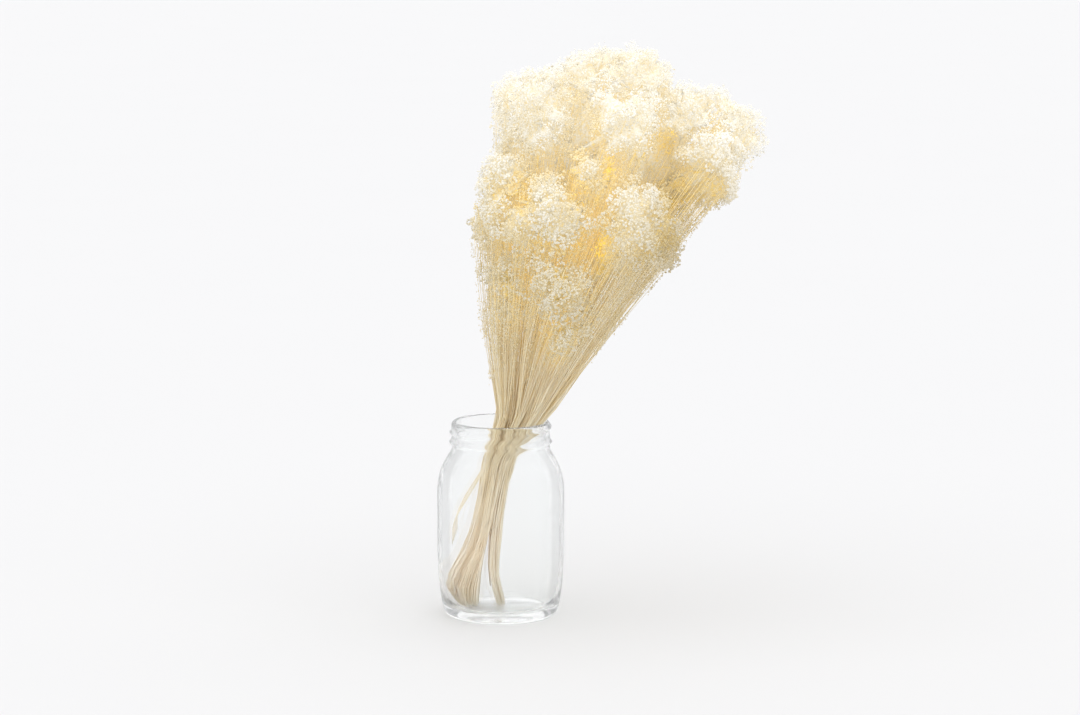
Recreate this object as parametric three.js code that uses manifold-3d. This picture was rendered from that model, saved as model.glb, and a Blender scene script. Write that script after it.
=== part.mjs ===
// A bunch of preserved broom bloom standing in a clear glass preserving jar.
// Every spray is one node of straw-coloured stems, forked above the jar's mouth, and one node of cream florets
// that the forks carry. All the stems are squeezed together in the jar's neck and lean on the right of its rim.
// Millimetres, +Z up, +X to the right, +Y away from the viewer. The origin is the centre of the jar's underside.
import * as THREE from "three";
import { ConvexGeometry } from "three/addons/geometries/ConvexGeometry.js";
import { mergeVertices } from "three/addons/utils/BufferGeometryUtils.js";
import Module from "manifold-3d";

const wasm = await Module();
wasm.setup();

// Jar
const jarHeight = 130;
const jarRadius = 42;
const footRadius = 33.5;
const neckRadius = 32.5; // outside, between the beads
const beadRadius = 35.2;
const threadRadius = 34.7;
const mouthRadius = 29.6; // inside
const wall = 2.8;
const floorHeight = 6;
const jarSides = 32;

// Bunch: the stems' common line and how far they spread from it, from the jar's floor to just above its rim
const bundle = [
  { z: floorHeight + 0.35, x: -16, width: 2.3, depth: 1.5 },
  { z: 48, x: -11.8, width: 1.1, depth: 1 },
  { z: 80, x: -6, width: 0.92, depth: 0.95 },
  { z: 106, x: -0.8, width: 1.15, depth: 1.1 },
  { z: 120, x: 6.6, width: 1.5, depth: 1.35 },
  { z: 134, x: 14.6, width: 1.95, depth: 1.7 },
];
const neckSpacing = 3.75; // between the sprays where they are squeezed
const neckBundleRadius = 10;
const fan = { x: 6, y: 0, z: 108 }; // the point that the flower heads fan out from
const fanLean = 16; // degrees, the fan's middle
const fanHalfLean = 24.5;
const fanHalfDepth = 20;

// Stems
const stemRadius = 1.15; // a main stem, over its corners
const branchRadius = 0.8;
const stemSides = 4;
const branchSides = 3;
const branchCount = 5;
const smallHead = 19; // radius up to which a spray has one branch less
const extraCutStems = 2; // more stems of the same spray, below the neck
const stemGap = 0.3;
const longestCutLift = 34; // how far above the floor the highest cut end stops

// Flower heads
const floretLattice = 54; // hollows between the florets of a head
const floretRise = 0.13; // of the head's radius
const hollowDepth = 0.08;
const headTaper = 0.45; // how much narrower a head gets towards its underside
const lowerHeight = 1.3; // of the lower half, over the radius
const passingShare = 0.42; // of the radius: how close to the middle a passing stem may run
const undersideDrop = 0.85; // the flat underside, below the head's centre
const headGap = 0.35;
const tipGap = 0.85; // from a branch's tip to the underside
const flankBow = 0.03; // of a flank stem's reach, how far it bends outwards halfway

// Each spray: lean to the right and depth away from the viewer in degrees, reach from the fan point, head radius
const crown = [
  { lean: 3, depth: -6, reach: 230, radius: 27.5 },
  { lean: 12, depth: 3, reach: 248, radius: 27 },
  { lean: 20, depth: 1, reach: 259, radius: 26 },
  { lean: 28, depth: 0, reach: 255, radius: 25 },
  { lean: 35.5, depth: 1, reach: 251, radius: 22.5 },
  { lean: 1, depth: 9, reach: 230, radius: 24 },
  { lean: 14, depth: 15, reach: 238, radius: 26 },
  { lean: 25.5, depth: 13, reach: 244, radius: 25 },
  { lean: 19, depth: -11, reach: 234, radius: 26.5 },
];
const frontFlank = [
  { lean: 8, depth: -17, reach: 177, radius: 27.5 },
  { lean: 28, depth: -17.5, reach: 187, radius: 28.5 },
  { lean: -3, depth: -4, reach: 156, radius: 21 },
  { lean: 16.5, depth: -14, reach: 200, radius: 22.5 },
  { lean: 0, depth: -11, reach: 196, radius: 24 },
  { lean: 33.5, depth: -8.5, reach: 221, radius: 22.5 },
  { lean: 14.5, depth: -23, reach: 137, radius: 24 },
  { lean: 23, depth: -24, reach: 101, radius: 14 },
  { lean: 0, depth: -18, reach: 127, radius: 17 },
];
const backFlank = [
  { lean: 5, depth: 17, reach: 188, radius: 23 },
  { lean: 16, depth: 19, reach: 187, radius: 24 },
  { lean: 30, depth: 18, reach: 197, radius: 24 },
  { lean: 1, depth: 20, reach: 143, radius: 17 },
  { lean: 21, depth: 28, reach: 138, radius: 18 },
  { lean: 37, depth: 14, reach: 168, radius: 16 },
];

const glass = new THREE.MeshStandardMaterial({
  color: 0xe6eeee,
  roughness: 0.05,
  metalness: 0,
  transparent: true,
  opacity: 0.35,
});
const straw = new THREE.MeshStandardMaterial({ color: 0xd9bf8a, roughness: 0.75, metalness: 0 });
const cream = new THREE.MeshStandardMaterial({ color: 0xf6ecc9, roughness: 0.9, metalness: 0 });

// The same series of numbers from 0 to 1 for the same seed.
function seededRandom(seed) {
  let state = seed >>> 0;
  return () => {
    state = (Math.imul(state, 1664525) + 1013904223) >>> 0;
    return state / 4294967296;
  };
}

const degrees = (angle) => THREE.MathUtils.degToRad(angle);
const mix = THREE.MathUtils.lerp;

// A closed solid from a geometry: only positions, with the shared corners merged.
function solidOf(geometry) {
  const bare = new THREE.BufferGeometry().setAttribute("position", geometry.getAttribute("position"));
  if (geometry.index) bare.setIndex(geometry.index);
  const merged = mergeVertices(bare, 1e-4);
  return new wasm.Manifold(
    new wasm.Mesh({
      numProp: 3,
      vertProperties: merged.attributes.position.array,
      triVerts: new Uint32Array(merged.index.array),
    }),
  );
}

// The geometry of a solid's largest body. Scraps that a cut leaves loose are dropped.
function geometryOf(solid) {
  const bodies = solid.decompose().sort((a, b) => b.volume() - a.volume());
  const { vertProperties, triVerts } = bodies[0].getMesh();
  return new THREE.BufferGeometry()
    .setAttribute("position", new THREE.BufferAttribute(vertProperties, 3))
    .setIndex(new THREE.BufferAttribute(triVerts, 1));
}

// The jar's profile as [radius, height], up the outside to the lip and down the inside to the floor's middle.
const shoulderTop = jarHeight - 18;
const bead = jarHeight - 13.6;
const thread = jarHeight - 5.6;
const outside = [
  [0, 0],
  [footRadius, 0],
  [footRadius + 2.6, 1.2],
  [footRadius + 4.8, 5.5],
  [jarRadius - 1.8, 16],
  [jarRadius - 0.5, 28],
  [jarRadius, 42],
  [jarRadius, 84],
  [jarRadius - 1.4, 94],
  [jarRadius - 4.4, 102.5],
  [neckRadius + 1.6, 109],
  [neckRadius, shoulderTop],
  [neckRadius, bead - 1.9],
  [beadRadius, bead],
  [neckRadius + 0.2, bead + 2],
  [neckRadius, thread - 1.6],
  [threadRadius, thread],
  [neckRadius, thread + 1.6],
  [neckRadius - 0.2, jarHeight - 1.1],
  [mouthRadius + 1.7, jarHeight],
];
const inside = [
  [mouthRadius + 0.6, jarHeight - 0.3],
  [mouthRadius, jarHeight - 1.4],
  [mouthRadius, shoulderTop],
  [neckRadius + 1.6 - wall, 107.5],
  [jarRadius - 4.4 - wall, 101],
  [jarRadius - 1.4 - wall, 93],
  [jarRadius - wall, 83],
  [jarRadius - wall, 42],
  [jarRadius - 1.2 - wall, 24],
  [jarRadius - 3.6 - wall, 13],
  [footRadius - 1, floorHeight + 2.5],
  [footRadius - 3, floorHeight],
  [0, floorHeight],
];

function jarGeometry() {
  const profile = [...outside, ...inside].map(([r, z]) => new THREE.Vector2(r, z));
  return new THREE.LatheGeometry(profile, jarSides).rotateX(Math.PI / 2);
}

// The jar's inner radius at height z.
function insideRadius(z) {
  const i = inside.findIndex(([, height]) => height <= z);
  if (i < 1) return mouthRadius;
  const [upper, top] = inside[i - 1];
  const [lower, bottom] = inside[i];
  return mix(lower, upper, (z - bottom) / (top - bottom));
}

// A stem lofted through level sections: one regular polygon at each point of its line.
function stemGeometry(line, radius, sides) {
  const positions = [];
  for (const p of line)
    for (let k = 0; k < sides; k++) {
      const turn = (2 * Math.PI * k) / sides;
      positions.push(p.x + radius * Math.cos(turn), p.y + radius * Math.sin(turn), p.z);
    }
  const faces = [];
  for (let i = 0; i + 1 < line.length; i++)
    for (let k = 0; k < sides; k++) {
      const a = i * sides + k;
      const b = i * sides + ((k + 1) % sides);
      faces.push(a, b, b + sides, a, b + sides, a + sides);
    }
  const top = (line.length - 1) * sides;
  for (let k = 1; k + 1 < sides; k++) faces.push(0, k + 1, k, top, top + k, top + k + 1);
  return new THREE.BufferGeometry()
    .setAttribute("position", new THREE.Float32BufferAttribute(positions, 3))
    .setIndex(faces);
}

// Where a line that only rises stands at height z, or null above or below it.
function lineAt(line, z) {
  for (let i = 0; i + 1 < line.length; i++)
    if (z >= line[i].z && z <= line[i + 1].z)
      return line[i].clone().lerp(line[i + 1], (z - line[i].z) / (line[i + 1].z - line[i].z));
  return null;
}

// The point of a line that is nearest to another point.
function nearestOn(line, point) {
  let nearest = line[0];
  for (let i = 0; i + 1 < line.length; i++) {
    const candidate = new THREE.Line3(line[i], line[i + 1]).closestPointToPoint(point, true, new THREE.Vector3());
    if (candidate.distanceTo(point) < nearest.distanceTo(point)) nearest = candidate;
  }
  return nearest.clone();
}

// True if two stems stay the gap apart at every level where both are.
function clear(a, b) {
  const step = 3;
  const low = Math.max(a.line[0].z, b.line[0].z);
  const high = Math.min(a.line.at(-1).z, b.line.at(-1).z);
  for (let z = low; z <= high; z += step) {
    const p = lineAt(a.line, z);
    const q = lineAt(b.line, z);
    if (p && q && Math.hypot(p.x - q.x, p.y - q.y) < a.radius + b.radius + stemGap) return false;
  }
  return true;
}

// The place in the squeezed bundle of each spray: first by its head's direction, then pushed apart evenly.
function neckPlaces(sprays) {
  const places = sprays.map(
    ({ lean, depth }) =>
      new THREE.Vector2((lean - fanLean) / fanHalfLean, depth / fanHalfDepth).multiplyScalar(0.8 * neckBundleRadius),
  );
  const rounds = 400;
  for (let round = 0; round < rounds; round++) {
    for (let i = 0; i < places.length; i++)
      for (let j = i + 1; j < places.length; j++) {
        const apart = places[j].clone().sub(places[i]);
        const missing = neckSpacing - apart.length();
        if (missing <= 0) continue;
        apart.setLength(missing / 2);
        places[i].sub(apart);
        places[j].add(apart);
      }
    for (const p of places) p.clampLength(0, neckBundleRadius);
  }
  return places;
}

// A spray's directions: the middle of its head, the way its stems arrive and the way the head faces.
function frameOf(spray) {
  const out = new THREE.Vector3(Math.tan(degrees(spray.lean)), Math.tan(degrees(spray.depth)), 1).normalize();
  const middle = new THREE.Vector3(Math.tan(degrees(fanLean)), 0, 1).normalize();
  const centre = new THREE.Vector3(fan.x, fan.y, fan.z).addScaledVector(out, spray.reach);
  const sideways = out.clone().addScaledVector(middle, -out.dot(middle)).normalize();
  const faces = out.clone().addScaledVector(sideways, spray.flank ? 0.5 : 0.2).normalize();
  const across = new THREE.Vector3().crossVectors(faces, out);
  if (across.length() < 0.05) across.set(0, 1, 0);
  across.normalize();
  return { centre, out, sideways, faces, across, along: new THREE.Vector3().crossVectors(faces, across) };
}

// A line without its lowest stretch: it starts at height z, or where it first clears the jar's wall above that.
function cutFrom(line, z, radius) {
  let foot = lineAt(line, z);
  const share = Math.cos(Math.PI / jarSides);
  while (Math.hypot(foot.x, foot.y) + radius + stemGap > share * insideRadius(foot.z)) foot = lineAt(line, foot.z + 0.5);
  return [foot, ...line.slice(1)];
}

// The line that a spray's stem takes through the bundle, moved sideways by a small offset.
function bundlePoint(level, place, offset) {
  return new THREE.Vector3(
    level.x + level.width * (place.x + offset.x),
    level.depth * (place.y + offset.y),
    level.z,
  );
}

// All the stems of one spray: the main stem, its branches and the extra cut stems, as lines with a radius.
function stemsOf(spray, turn, random) {
  const { centre, out, across } = spray.frame;
  const none = { x: 0, y: 0 };
  const underside = centre.clone().addScaledVector(out, -undersideDrop * spray.radius - tipGap);
  const top = bundlePoint(bundle.at(-1), spray.place, none);
  const lift = spray.lift * longestCutLift;
  const lower = bundle.slice(0, -1).map((level) => bundlePoint(level, spray.place, none));
  const halfway = top.clone().lerp(underside, 0.5);
  if (spray.flank) halfway.addScaledVector(spray.frame.sideways, flankBow * spray.reach);
  const main = {
    line: cutFrom([...lower, top, halfway, underside], lower[0].z + lift, stemRadius),
    radius: stemRadius,
    sides: stemSides,
  };
  const stems = [main];
  const inward = new THREE.Vector3().crossVectors(out, across).normalize();
  const branches = spray.radius > smallHead ? branchCount : branchCount - 1;
  for (let k = 0; k < branches; k++) {
    const angle = turn + (2 * Math.PI * k) / branches;
    const spread = spray.radius * (0.34 + 0.1 * random());
    const tip = underside
      .clone()
      .addScaledVector(across, spread * Math.cos(angle))
      .addScaledVector(inward, 0.75 * spread * Math.sin(angle));
    const root = lineAt(main.line, mix(bundle.at(-1).z - 4, bundle.at(-1).z + 26, k / branches));
    const way = root.clone().lerp(tip, 0.4);
    way.addScaledVector(lineAt(main.line, way.z).sub(way), -0.25);
    stems.push({ line: [root, way, tip], radius: branchRadius, sides: branchSides });
  }
  for (let k = 0; k < extraCutStems; k++) {
    const angle = turn + Math.PI * k + random();
    const offset = { x: 1.25 * Math.cos(angle), y: 1.25 * Math.sin(angle) };
    const close = { x: offset.x * 0.35, y: offset.y * 0.35 };
    const end = bundlePoint(bundle[0], spray.place, offset);
    const rest = [
      bundlePoint(bundle[1], spray.place, offset),
      bundlePoint(bundle[2], spray.place, close),
      bundlePoint(bundle[3], spray.place, close),
    ];
    stems.push({
      line: cutFrom([end, ...rest], end.z + longestCutLift * random() * 0.8, branchRadius),
      radius: branchRadius,
      sides: branchSides,
    });
  }
  return stems;
}

// Stems of every spray, each turned until its branches clear those of the sprays before it.
function placeStems(sprays) {
  const placed = [];
  const tries = 72;
  for (const spray of sprays) {
    let stems;
    let found = false;
    for (let attempt = 0; attempt < tries && !found; attempt++) {
      const turn = spray.turn + (2 * Math.PI * attempt) / tries;
      stems = stemsOf(spray, turn, seededRandom(spray.seed + attempt));
      found = stems.every((s) => placed.every((p) => clear(s, p)));
    }
    spray.stems = stems;
    spray.crossed = !found;
    placed.push(...stems);
  }
}

// Directions spread evenly over a sphere by the golden angle.
function evenDirections(count) {
  const golden = Math.PI * (3 - Math.sqrt(5));
  return Array.from({ length: count }, (_, i) => {
    const z = 1 - (2 * (i + 0.5)) / count;
    const r = Math.sqrt(1 - z * z);
    return new THREE.Vector3(r * Math.cos(golden * i), r * Math.sin(golden * i), z);
  });
}

// A flower head: a flattened ball whose surface is all florets. Each triangle of an even net of hollows is raised
// to one floret. The head is flat underneath, and flat where it is pressed against its neighbours.
function headGeometry(spray, sprays) {
  const { centre, out, faces, across, along } = spray.frame;
  const random = seededRandom(spray.seed);
  const net = new ConvexGeometry(evenDirections(floretLattice)).getAttribute("position");
  const spin = new THREE.Quaternion().setFromAxisAngle(new THREE.Vector3(0, 0, 1), spray.turn);
  const limits = [{ normal: out.clone().negate(), distance: undersideDrop * spray.radius }];
  for (const other of sprays) {
    if (other === spray) continue;
    const apart = other.frame.centre.clone().sub(centre);
    const span = apart.length();
    const distance = (span * span + spray.radius ** 2 - other.radius ** 2) / (2 * span) - headGap / 2;
    if (span < 1.3 * (spray.radius + other.radius)) limits.push({ normal: apart.normalize(), distance });
    for (const stem of other.stems) {
      const nearest = nearestOn(stem.line, centre).sub(centre);
      const room = nearest.length() - stem.radius - headGap;
      if (room > passingShare * spray.radius && room < 1.2 * spray.radius)
        limits.push({ normal: nearest.normalize(), distance: room });
    }
  }
  const place = (direction, size) => {
    const local = direction.clone().applyQuaternion(spin).multiplyScalar(size * spray.radius);
    const low = Math.max(0, -direction.z);
    const narrower = 1 - headTaper * low;
    const point = new THREE.Vector3()
      .addScaledVector(across, local.x * narrower)
      .addScaledVector(along, local.y * narrower)
      .addScaledVector(faces, local.z * (low > 0 ? lowerHeight : 1));
    for (const { normal, distance } of limits) {
      const reach = point.dot(normal);
      if (reach > distance) point.multiplyScalar(distance / reach);
    }
    return point.add(centre);
  };
  const positions = [];
  const corner = (i) => new THREE.Vector3().fromBufferAttribute(net, i);
  for (let i = 0; i < net.count; i += 3) {
    const corners = [corner(i), corner(i + 1), corner(i + 2)];
    const tipDirection = corners[0].clone().add(corners[1]).add(corners[2]).normalize();
    const tip = place(tipDirection, 1 - floretRise * 0.5 * random());
    const hollows = corners.map((c) => place(c.normalize(), 1 - floretRise - hollowDepth));
    for (let k = 0; k < 3; k++)
      for (const p of [hollows[k], hollows[(k + 1) % 3], tip]) positions.push(p.x, p.y, p.z);
  }
  return new THREE.BufferGeometry().setAttribute("position", new THREE.Float32BufferAttribute(positions, 3));
}

// Stems of other sprays that run through a head, a little thicker, as one solid to cut it with.
function passingStems(spray, sprays, head) {
  const cuts = [];
  for (const other of sprays)
    for (const { line, radius, sides } of other.stems) {
      const thick = solidOf(stemGeometry(line, radius + headGap * (other === spray ? 1 : 1.4), sides));
      if (thick.intersect(head).volume() > 0) cuts.push(thick);
    }
  return cuts;
}

const sprays = [
  ...crown.map((s) => ({ ...s, flank: false })),
  ...frontFlank.map((s) => ({ ...s, flank: true })),
  ...backFlank.map((s) => ({ ...s, flank: true })),
];
const places = neckPlaces(sprays);
sprays.forEach((spray, i) => {
  const random = seededRandom(101 + 37 * i);
  spray.name = "spray_" + String(i + 1).padStart(2, "0");
  spray.seed = 7 + 13 * i;
  spray.place = places[i];
  spray.turn = 2 * Math.PI * random();
  spray.lift = i % 3 === 0 ? 0 : random();
  spray.frame = frameOf(spray);
});
placeStems(sprays);

function named(name, geometry, material) {
  const mesh = new THREE.Mesh(geometry, material);
  mesh.name = name;
  return mesh;
}

const bunch = new THREE.Group();
bunch.add(named("jar", jarGeometry(), glass));
for (const spray of sprays) {
  const parts = spray.stems.map(({ line, radius, sides }) => solidOf(stemGeometry(line, radius, sides)));
  const stems = parts.reduce((all, one) => all.add(one));
  let head = solidOf(headGeometry(spray, sprays));
  for (const cut of passingStems(spray, sprays, head)) head = head.subtract(cut);
  bunch.add(named(spray.name + "_stems", geometryOf(stems), straw));
  bunch.add(named(spray.name + "_bloom", geometryOf(head), cream));
}

export default bunch;
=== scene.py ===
"""Preserved broom bloom standing in a clear preserving jar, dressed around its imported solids.

Metres, +Z up, +X to the right, +Y away from the viewer, the origin in the middle of the jar's underside.
"""

import math

import bpy
import numpy as np
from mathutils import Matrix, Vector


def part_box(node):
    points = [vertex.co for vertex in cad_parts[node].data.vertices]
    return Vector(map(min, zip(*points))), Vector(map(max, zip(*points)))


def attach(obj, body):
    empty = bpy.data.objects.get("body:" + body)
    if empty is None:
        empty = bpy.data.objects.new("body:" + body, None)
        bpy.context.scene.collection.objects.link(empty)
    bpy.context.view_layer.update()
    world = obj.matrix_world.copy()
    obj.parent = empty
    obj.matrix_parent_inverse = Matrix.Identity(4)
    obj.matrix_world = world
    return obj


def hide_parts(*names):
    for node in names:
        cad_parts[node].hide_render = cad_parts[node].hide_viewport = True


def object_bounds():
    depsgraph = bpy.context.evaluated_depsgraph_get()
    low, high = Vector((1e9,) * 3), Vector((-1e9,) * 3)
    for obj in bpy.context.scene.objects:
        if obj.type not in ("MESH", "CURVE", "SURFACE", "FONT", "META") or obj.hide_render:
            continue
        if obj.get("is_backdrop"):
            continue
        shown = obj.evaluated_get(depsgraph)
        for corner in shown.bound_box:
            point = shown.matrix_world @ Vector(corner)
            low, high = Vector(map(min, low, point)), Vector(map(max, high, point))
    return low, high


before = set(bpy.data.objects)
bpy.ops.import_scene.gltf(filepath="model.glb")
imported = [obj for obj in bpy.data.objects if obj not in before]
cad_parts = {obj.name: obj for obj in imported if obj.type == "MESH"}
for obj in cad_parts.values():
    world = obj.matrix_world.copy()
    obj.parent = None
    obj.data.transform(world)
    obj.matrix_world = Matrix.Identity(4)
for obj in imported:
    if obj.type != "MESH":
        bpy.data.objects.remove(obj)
solid_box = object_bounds()

bl_info = {
    "name": "Broom bloom in a jar",
    "version": (1, 0, 0),
    "blender": (4, 5, 0),
    "location": "View3D > Sidebar > Broom bloom",
    "description": "Makes a bunch of preserved broom bloom in a glass jar around its solids",
    "category": "Add Mesh",
}

TURN = 2 * math.pi

# Each spray: its head's lean to the right and depth away from the viewer in degrees, its reach from the
# fan's point and its radius in millimetres. Each head's middle lies inside its solid's box. Sprays 1, 3, 4,
# 5, 6, 14 and 15 stand up to 14 mm from their solids' middles, where the bunch's outline has them. The
# first nine are the crown, the rest the flanks.
SPRAYS = np.array([
    (4.5, -6, 228, 26.5),
    (12, 3, 248, 27),
    (19.5, 1, 256, 26),
    (27.5, 0, 247, 24),
    (34, 1, 258, 22.5),
    (2, 9, 229, 24),
    (14, 15, 238, 26),
    (25.5, 13, 244, 25),
    (19, -11, 234, 26.5),
    (8, -17, 177, 27.5),
    (28, -17.5, 187, 28.5),
    (-3, -4, 156, 21),
    (16.5, -14, 200, 22.5),
    (0.4, -11, 182, 22.5),
    (34.6, -8.5, 233, 22.5),
    (14.5, -23, 137, 24),
    (23, -24, 101, 14),
    (0, -18, 127, 17),
    (5, 17, 188, 23),
    (16, 19, 187, 24),
    (30, 18, 197, 24),
    (1, 20, 143, 17),
    (21, 28, 138, 18),
    (37, 14, 168, 16),
])
CROWN_COUNT = 9
FAN_POINT = np.array((0.006, 0.0, 0.108))  # metres: where the sprays' lines would meet
FAN_LEAN = 16.0  # degrees
FACING = (0.2, 0.5)  # how far a head turns outwards, in the crown and on the flanks
PLUME = 2.3  # length of a head's lower half, over its radius
SHARPNESS = (1.15, 1.9)  # how suddenly a head ends at its surface, in the crown and on the flanks
TAPER = (0.12, 0.5)  # how much a head narrows towards its stems, in the fan's middle and at its sides
SIDE_LEANS = (9, 18)  # degrees off the fan's middle between which the taper changes from one to the other
WAVE_LENGTHS = (0.052, 0.034, 0.021, 0.014)  # metres: four waves of each length push heads out of round
WAVE_PUSH = 0.055  # how far a wave pushes, over its length
RIPPLE_LENGTHS = (0.011, 0.024)  # metres: the shortest and the longest wave that raises billows

# Hollows between sprays, where the stems show, painted golden as shade and glow: lean, depth and reach of
# either end, as above, the hollow's radius in millimetres, and how golden it is painted
HOLLOWS = np.array([
    (10.8, -6.5, 238, 15, -17, 221, 5, 0.45),
    (1.8, -22.3, 183, 2, -16.6, 200, 4, 0.5),
    (2.7, -16.4, 202, 9.2, -13.1, 210, 4, 0.4),
    (11.1, -14.9, 209, 12.8, -20.3, 200, 4.5, 0.6),
    (13.5, -20.7, 198, 18.8, -21.6, 193, 5, 0.65),
    (18.6, -17, 216, 19.2, -19.2, 208, 4.5, 0.75),
    (20, -17, 215, 23.5, -15.2, 225, 4, 0.4),
    (26.1, -7.3, 233, 26.9, -11.3, 218, 5.5, 1),
    (29.7, -12.7, 223, 31.7, -16.4, 211, 5, 0.4),
    (33.1, -11.8, 206, 35.9, -11.8, 198, 6, 0.3),
    (32.7, -13.8, 231, 35.6, -11.5, 225, 7, 0.3),
    (21.6, -21.6, 167, 19.6, -23.6, 157, 4.5, 0.7),
    (24, -19.9, 152, 26, -18.5, 143, 4, 0.4),
])
THIN_REACH = 160  # millimetres: heads nearer the fan's point than this are thin veils over the stems
HOLLOW_SHARE = 0.85  # how much of the flowers' weight a hollow takes away in its middle
SURFACE = 1.3  # the flowers' weight on the bunch's surface
BILLOW = 2.1  # how strongly short waves raise and lower that surface

# Heads near the fan's point are low and get painted shade, darker and yellower with a dimmer painted
# glow: wholly up to the first of LOW_HEADS, not at all past the second. Right of RIGHT_FROM the crown
# hangs over them and the painted shade reaches higher: the first is up to LOW_RISE more. Metres.
LOW_HEADS = (0.13, 0.24)
LOW_RISE = 0.07
RIGHT_FROM, RIGHT_TO = 0.075, 0.11

# Painted glow: emitted colours for light that thin petals pass on, outermost buds to those in hollows
PAINTED_GLOWS = (0.95, 0.925, 0.865), (0.88, 0.80, 0.62), (0.84, 0.66, 0.35), (1.0, 0.67, 0.10)

# Painted glow on the stems, the same way, by how deep inside the flowers they are
PAINTED_GLOWS_ON_STEMS = (0.0, (0.012, 0.01, 0.006)), (0.7, (0.20, 0.158, 0.075)), (1.0, (0.70, 0.47, 0.07))

BUNDLE_LEVELS = (0.048, 0.080, 0.106, 0.120, 0.134)  # metres: the corners of the solids' main stems
LEVEL_ERROR = 2e-5  # metres
JAR_FLOOR, JAR_RIM, KNEE_LEVEL = 0.006, 0.130, 0.024  # metres

# The cut ends stand apart in a wide left group and a narrow right one. Each row says where a stem would
# stand in an even spread, and where it does, in millimetres from the jar's middle: FEET at the cut ends,
# KNEES just above them. PARTING says the same of the gap between the groups, at the lowest of BUNDLE_LEVELS.
FEET = np.array([(-35.2, -36), (-6.5, -15), (-6.4, -1.8), (3.3, 2.4)])
KNEES = np.array([(-35.2, -37.5), (-6.5, -13.8), (-6.4, -6.3), (3.3, -2)])
PARTING = (-6.45, -9)

# Five stems of one spray stray from the bundle, STRAY_GAP metres apart: the first one's places, in mm
STRAY_SPRAY, STRAY_COUNT, STRAY_GAP = 17, 5, 0.0007
STRAY = np.array([(-31.4, -14, 50), (-31.2, -14, 57), (-29.5, -14, 67), (-15.5, -9, 90)])

# The whole bundle's middle, and its width and depth over an even spread's, at the floor and at the neck
BOTTOM_MIDDLE, BOTTOM_WIDTH, BOTTOM_DEPTH = -0.016, 2.3, 1.5
NECK_LEVEL, NECK_MIDDLE, NECK_WIDTH, NECK_DEPTH = 0.080, -0.006, 0.92, 0.95

# How far a spray's stems spread round its line at the floor, the knees and each of BUNDLE_LEVELS, in metres
SPREADS = 0.0020 * np.array((2.6, 2.6, 1.5, 1.2, 1.15, 1.3, 1.45))
WALL_GAP = 0.0012  # metres left free between the stems' lines and the jar's wall
FAN_MIDDLE = np.array((0.06, 0.0, 0.0))  # metres: the middle of the fan, seen from above
PATH_POINTS = 19  # points on a stem's path from its cut end to its tip
FORKS_FROM = 9  # forks leave the stems at this point and above
OUTER_AT = 12  # stems that are farthest from the fan's middle line at this point are the outer ones

FULL_CORE, THIN_CORE = 0.97, 0.62  # how much of the way to the surface a head's packed florets reach
THIN_SHARE = 0.75  # the share of its tufts that a thin head keeps
RAYS = 900  # lines from each head's middle that find places for tufts
OPEN_HOLLOW = 0.45  # where a point lies deeper in a hollow than this, there is no tuft
TUFT_SIZES, SPRINKLE_SIZES = (0.75, 1.3), (0.2, 0.55)  # the smallest and largest, over the mean radius
TUFT_SINK, THIN_SINK = (0.002, 0.0016), 0.006  # metres: how deep tufts lie, how it varies, and more if thin
SPRINKLES, SPRINKLE_HEAD = 135, 0.024  # the sprinkles under a head of this radius in metres
SPRINKLE_STRETCH = 0.009  # metres: how far sprinkles are drawn out up and down the stems
VEIL_LEVELS = (0.155, 0.225)  # metres: between these heights sprinkles get fewer downwards
FORK_RISE, FORK_RADIUS, TWIG_RADIUS = 0.006, 0.0002, 0.00013  # metres
CROWN_BUDS = 1.3  # buds in a tuft of the crown, over those in one of the flanks
BUD_SCALES = (0.8, 0.95, 0.52)  # bud radii in the crown, on the flanks and in sprinkles, over the mean
STRAY_BUDS = 0.05  # the share of buds that stand out from their tuft

# Each kind of random draw starts from its own number, plus the spray's, so every run gives the same bunch
WAVE_SEED, TUFT_SEED, STEM_SEED, FLOWER_SEED = 41, 77, 500, 900

# The jar's profile as (radius, height) in millimetres
JAR_OUTSIDE = (
    (28.0, 1.4), (31.0, 0.0), (34.2, 0.1), (36.6, 1.6), (38.4, 5.5), (40.2, 16), (41.4, 28), (42, 42),
    (42, 63), (42, 82), (41.3, 91), (39.6, 98), (37, 103.6), (34.4, 107.8), (32.9, 110.6), (32.5, 112.6),
    (32.5, 126.8), (32.3, 128.6), (31.6, 129.7), (30.9, 130),
)
JAR_INSIDE = (
    (30.2, 129.7), (29.7, 128.8), (29.6, 126), (29.6, 113), (30.4, 109.6), (32.4, 105.6), (35.2, 101.4),
    (37.6, 96.4), (38.9, 90), (39.2, 82), (39.2, 63), (39.2, 42), (38.4, 26), (36.6, 14.5), (33.6, 8.6),
    (29.5, 6.3), (24, 6.0), (12, 6.2),
)
NECK_FOOT = 0.1115  # metres: the bead and the thread stand above this level
BEAD_LEVEL, BEAD_WIDTH = 0.1164, 0.00135
THREAD_TOP, THREAD_WIDTH = 0.1264, 0.00115
THREAD_START, THREAD_END = (-1.9, -1.3), (3.9, 4.5)  # turns in radians over which it rises and fades
GLASS_BEND = 1.22  # weaker than real glass, so that a wall doesn't show the stems behind it twice

# The photograph's width and focal length in pixels, and the camera sensor's width in millimetres
PHOTO_WIDTH, FOCAL_LENGTH, SENSOR = 1080, 3333, 36
CAMERA_PLACE = (0.026, -2.1725, 0.4794)  # metres


def amount(name, description, default, **kind):
    """A number among the settings, with its unit or subtype."""
    return bpy.props.FloatProperty(name=name, description=description, default=default, **kind)


def paint(name, description, default):
    """A colour among the settings."""
    kind = {"name": name, "description": description, "default": default, "subtype": "COLOR"}
    return bpy.props.FloatVectorProperty(**kind)


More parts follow.
